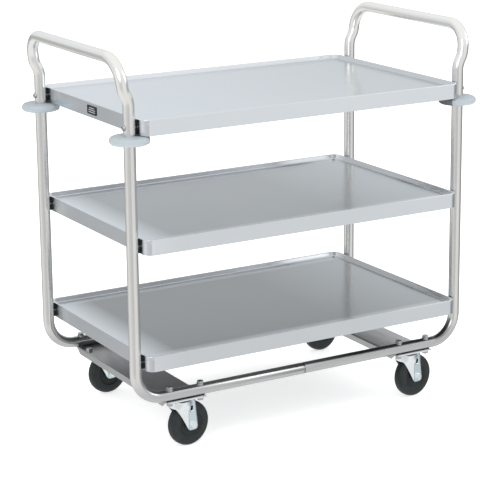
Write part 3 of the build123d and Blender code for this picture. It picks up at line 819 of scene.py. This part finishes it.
# The arm's rear and front edges, as (height, x) from its foot up.
REAR_EDGE = [
    (38, 14), (39.2, 10), (42, 7.2), (47, 4.6), (54, 1.2), (64, -4), (73, -9),
    (80, -13.5), (85, -17.5), (89, -20.5), (92, -22), (107.4, -22),
]
FRONT_EDGE = [(38, 26), (39.2, 30), (42, 32.4), (47, 33), (54, 32.4), (107.4, 27)]
ARM_COLUMNS = 14
ARM_ROWS = 18


def along(table, height):
    """Reads a table of (height, x) points in millimetres at a height in metres."""
    z = height / MM
    for (z0, x0), (z1, x1) in zip(table, table[1:]):
        if z <= z1:
            return (x0 + (x1 - x0) * (z - z0) / (z1 - z0)) * MM
    return table[-1][1] * MM


def smooth_step(value):
    value = min(max(value, 0.0), 1.0)
    return value * value * (3 - 2 * value)


def arm_surface(x, z):
    """How far the arm's outer face stands from the wheel's middle."""
    fade = smooth_step((CREASE_TOP - z) / CREASE_FADE)
    crease = CREASE_LEAN * max(0.0, CREASE_X - x) * fade
    crown = sqrt(max(CROWN_R**2 - x**2, 0.0))
    flare = smooth_step((z - FLARE_START) / FLARE_HEIGHT)
    flat = ARM_FACE - crease
    if x > CROWN_R * 0.66:
        crown = ARM_FACE
    return flat + (crown - flat) * flare


def is_near_slot(spot):
    return (
        SLOT_X[0] - 3 * MM < spot.x < SLOT_X[1] + 3 * MM
        and SLOT_Z[0] - 4 * MM < spot.z < SLOT_Z[1] + 4 * MM
    )


def pressed_fork():
    """One fork in the caster's own frame: swivel axis on Z, wheel trailing towards +X."""
    bm = pressed_arm()
    cut_slot(bm)
    bmesh.ops.mirror(bm, geom=everything(bm), axis="Y", merge_dist=1e-6, matrix=Matrix())
    wrap_skirt(bm)
    close_crown(bm)
    bmesh.ops.recalc_face_normals(bm, faces=bm.faces[:])
    across_layer = bm.verts.layers.float.new("across")
    for vert in bm.verts:
        vert[across_layer] = vert.co.x
    return bm


def pressed_arm():
    """The near arm with its share of the crown's side, from the foot up."""
    bm = bmesh.new()
    bmesh.ops.create_grid(bm, x_segments=ARM_COLUMNS, y_segments=ARM_ROWS, size=0.5)
    foot = REAR_EDGE[0][0] * MM
    for vert in bm.verts:
        z = foot + (vert.co.y + 0.5) ** 1.35 * (CROWN_TOP - foot)
        rear, front = along(REAR_EDGE, z), along(FRONT_EDGE, z)
        x = rear + (vert.co.x + 0.5) * (front - rear)
        vert.co = (x, -arm_surface(x, z), z)
    return bm


def cut_slot(bm):
    """Cuts the arm's slot: four cuts across the faces round it, then the middle goes."""
    for spot, way in (
        *(((x, 0, 0), (1, 0, 0)) for x in SLOT_X),
        *(((0, 0, z), (0, 0, 1)) for z in SLOT_Z),
    ):
        near = [f for f in bm.faces if is_near_slot(f.calc_center_median())]
        near += dict.fromkeys(g for f in near for g in (*f.edges, *f.verts))
        bmesh.ops.bisect_plane(bm, geom=near, plane_co=spot, plane_no=way)
    cut = []
    for face in bm.faces:
        spot = face.calc_center_median()
        if SLOT_X[0] < spot.x < SLOT_X[1] and SLOT_Z[0] < spot.z < SLOT_Z[1]:
            cut.append(face)
    bmesh.ops.delete(bm, geom=cut, context="FACES")
    bmesh.ops.remove_doubles(bm, verts=bm.verts[:], dist=0.4 * MM)


def wrap_skirt(bm):
    """Closes the back between the two arms with the skirt, round the crown."""
    rear_x = REAR_EDGE[-1][1] * MM
    rear = [
        v for v in bm.verts
        if v.co.x < rear_x + 0.1 * MM and v.co.y < 0 and v.co.z > SKIRT_LOW
    ]
    half_turn = {v: atan2(-v.co.y, -v.co.x) for v in rear}
    mean = sum(half_turn.values()) / len(rear)
    turn_at = {round(v.co.z, 5): half_turn[v] / mean for v in rear}
    rear_edges = ring_edges(rear)
    before = {tuple(v.co) for v in bm.verts}
    bmesh.ops.spin(
        bm, geom=rear + rear_edges, cent=(0, 0, 0), axis=(0, 0, -1), dvec=(0, 0, 0),
        angle=2 * mean, steps=14, use_merge=False, use_duplicate=False,
    )
    for vert in [v for v in bm.verts if tuple(v.co) not in before]:
        nearest = min(turn_at, key=lambda z: abs(z - vert.co.z))
        turn = atan2(vert.co.y, -vert.co.x) * turn_at[nearest]
        radius = vert.co.xy.length
        vert.co.x, vert.co.y = -radius * cos(turn), radius * sin(turn)
    bmesh.ops.remove_doubles(bm, verts=bm.verts[:], dist=0.5 * MM)


def close_crown(bm):
    """Closes the top of the fork with the crown's flat face, and rounds its edge."""
    crown_verts = [v for v in bm.verts if v.co.z > CROWN_TOP - 0.01 * MM]
    crown_verts.sort(key=lambda v: atan2(v.co.y, v.co.x - 2 * MM))
    crown = bm.faces.new(crown_verts)
    rim_edges = [e for e in crown.edges if len(e.link_faces) == 2]
    bmesh.ops.bevel(
        bm, geom=rim_edges, offset=3.0 * MM, offset_type="OFFSET", segments=4,
        profile=0.5, affect="EDGES", material=-1,
    )
    bmesh.ops.remove_doubles(bm, verts=bm.verts[:], dist=0.3 * MM)
    bmesh.ops.dissolve_degenerate(bm, edges=bm.edges[:], dist=0.05 * MM)


def race_rise():
    """The raised ring of the crown that the balls run on."""
    outline = [
        (14 * MM, CROWN_TOP - 1 * MM), (14 * MM, 109.6 * MM), (14.5 * MM, 110.1 * MM),
        (21.5 * MM, 110.1 * MM), (22.3 * MM, 109.2 * MM), (22.8 * MM, CROWN_TOP - 1 * MM),
    ]
    return turned_sector(outline, 0, 360, (0, 0, 0), steps=48)


def at_caster(bm, side, end):
    """Turns a mesh made in the caster's frame to the wheels' heading, and puts it in place."""
    heading = Matrix.Rotation(radians(HEADING), 3, "Z")
    bmesh.ops.rotate(bm, cent=(0, 0, 0), matrix=heading, verts=bm.verts[:])
    bmesh.ops.translate(bm, vec=(side * CASTER_X, end * CASTER_Y, 0), verts=bm.verts[:])
    return bm


# Painted light on the arm: its flat front is coloured darker and cooler than the part
# behind its crease, as the two faces meet the light differently, and the crease itself
# has a painted dark line of shade.
pressed_zinc, pressed_tree, pressed_shader, pressed_colour = zinc_finish(
    "pressed_zinc", (0.86, 0.91, 0.935), (0.93, 0.955, 0.955)
)
across_arm = pressed_tree.nodes.new("ShaderNodeAttribute")
across_arm.attribute_name = "across"
arm_x = across_arm.outputs["Fac"]
behind = spread(pressed_tree, arm_x, CREASE_X - 0.3 * MM, CREASE_X + 0.3 * MM, 1.0, 0.0)
off_crease = combine(pressed_tree, "SUBTRACT", arm_x, CREASE_X)
off_crease = combine(pressed_tree, "ABSOLUTE", off_crease, 0.0)
crease_painted_shade = spread(pressed_tree, off_crease, 0.5 * MM, 1.1 * MM, 0.7, 0.0)
arm_painted_light_colour = tint(pressed_tree, behind, (0.68, 0.79, 0.83), pressed_colour)
arm_painted_light_colour = tint(pressed_tree, crease_painted_shade, arm_painted_light_colour, (0.30, 0.36, 0.38))
pressed_tree.links.new(arm_painted_light_colour, pressed_shader.inputs["Base Color"])

# Painted shade: the crown's race rise, in the gap between the plate and the crown, is coloured near
# black for the shade there.
race_painted_shade, race_shade_tree, race_shade_shader = new_finish("race_painted_shade", (0.05, 0.05, 0.048), 0.4)
race_shade_mottle = grain(race_shade_tree, place_of(race_shade_tree), (1, 1, 1), 260.0)
race_shade_colour = tint(race_shade_tree, race_shade_mottle, (0.03, 0.03, 0.028), (0.10, 0.10, 0.095))
race_shade_tree.links.new(race_shade_colour, race_shade_shader.inputs["Base Color"])

for corner, (side, end) in CORNERS.items():
    fork = as_object(at_caster(pressed_fork(), side, end), f"{corner}_pressed_fork", pressed_zinc)
    sheet_metal(fork, FORK_SHEET, even=False)
    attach(fork, f"{corner}_swivel")
    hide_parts(f"{corner}_fork")
    # The race rise takes the painted shade.
    rise = as_object(at_caster(race_rise(), side, end), f"{corner}_race_rise", race_painted_shade)
    rise.data.set_sharp_from_angle(angle=radians(40))
    rise.parent = fork
    dress(f"{corner}_axle_bolt", zinc_plate)
    dress(f"{corner}_axle_nut", zinc_plate)


# ---- Wheels ----
# Solid near-black rubber, 100 mm across: a rounded tread, flat walls with fine
# moulded rings in the recess round the hub, and a drawn steel bushing.
wheel_rubber, wheel_tree, wheel_shader = new_finish("wheel_rubber", (0.030, 0.034, 0.034), 0.5)
wheel_place = place_of(wheel_tree)
wheel_grain = grain(wheel_tree, wheel_place, (1, 1, 1), 900.0, 4.0)
wheel_dust = grain(wheel_tree, wheel_place, (1, 1, 1), 55.0, 5.0, 0.65)
dusted = spread(wheel_tree, wheel_dust, 0.4, 0.75, 0.0, 1.0)
wheel_colour = tint(wheel_tree, dusted, (0.011, 0.015, 0.015), (0.024, 0.029, 0.029))
wheel_rough = spread(wheel_tree, wheel_dust, 0.3, 0.7, 0.42, 0.62)
wheel_tree.links.new(wheel_colour, wheel_shader.inputs["Base Color"])
wheel_tree.links.new(wheel_rough, wheel_shader.inputs["Roughness"])
wheel_shader.inputs["Specular IOR Level"].default_value = 0.35
relief(wheel_tree, wheel_shader, wheel_grain, 0.2, 0.0002)

drawn_bush, bush_tree, bush_shader = new_finish("drawn_bush", (0.52, 0.52, 0.52), 0.3, 1.0)
bush_film = grain(bush_tree, place_of(bush_tree), (1, 1, 1), 260.0)
bush_tree.links.new(spread(bush_tree, bush_film, 0.3, 0.7, 0.22, 0.42), bush_shader.inputs["Roughness"])

# Half of the wheel's outline from the hub out to the tread, as (radius, half width).
WHEEL_HALF = [
    (8.05, 15.0), (12.2, 15.0), (12.9, 14.4), (13.6, 10.6), (14.4, 9.6), (18.6, 9.5),
    (19.4, 10.3), (20.4, 10.3), (21.2, 9.5), (24.2, 9.5), (25.0, 10.3), (26.0, 10.3),
    (26.8, 9.6), (28.0, 10.0), (29.6, 12.2), (30.6, 12.9), (31.6, 13.0), (36.0, 13.0),
    (40.6, 12.9), (41.6, 12.7), (43.6, 12.4), (45.6, 11.6), (47.4, 10.2), (48.8, 8.0),
    (49.5, 5.6), (49.9, 2.8), (50.0, 0.0),
]
for corner, (side, end) in CORNERS.items():
    near = [(radius * MM, -half * MM) for radius, half in WHEEL_HALF]
    far = [(radius * MM, half * MM) for radius, half in reversed(WHEEL_HALF[:-1])]
    tyre = turned_sector(near + far, 0, 360, (TRAIL, 0, AXLE_Z), axis="Y", steps=96)
    wheel = as_object(at_caster(tyre, side, end), f"{corner}_moulded_wheel", wheel_rubber)
    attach(wheel, f"{corner}_roller")
    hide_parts(f"{corner}_wheel")
    dress(f"{corner}_wheel_bushing", drawn_bush)
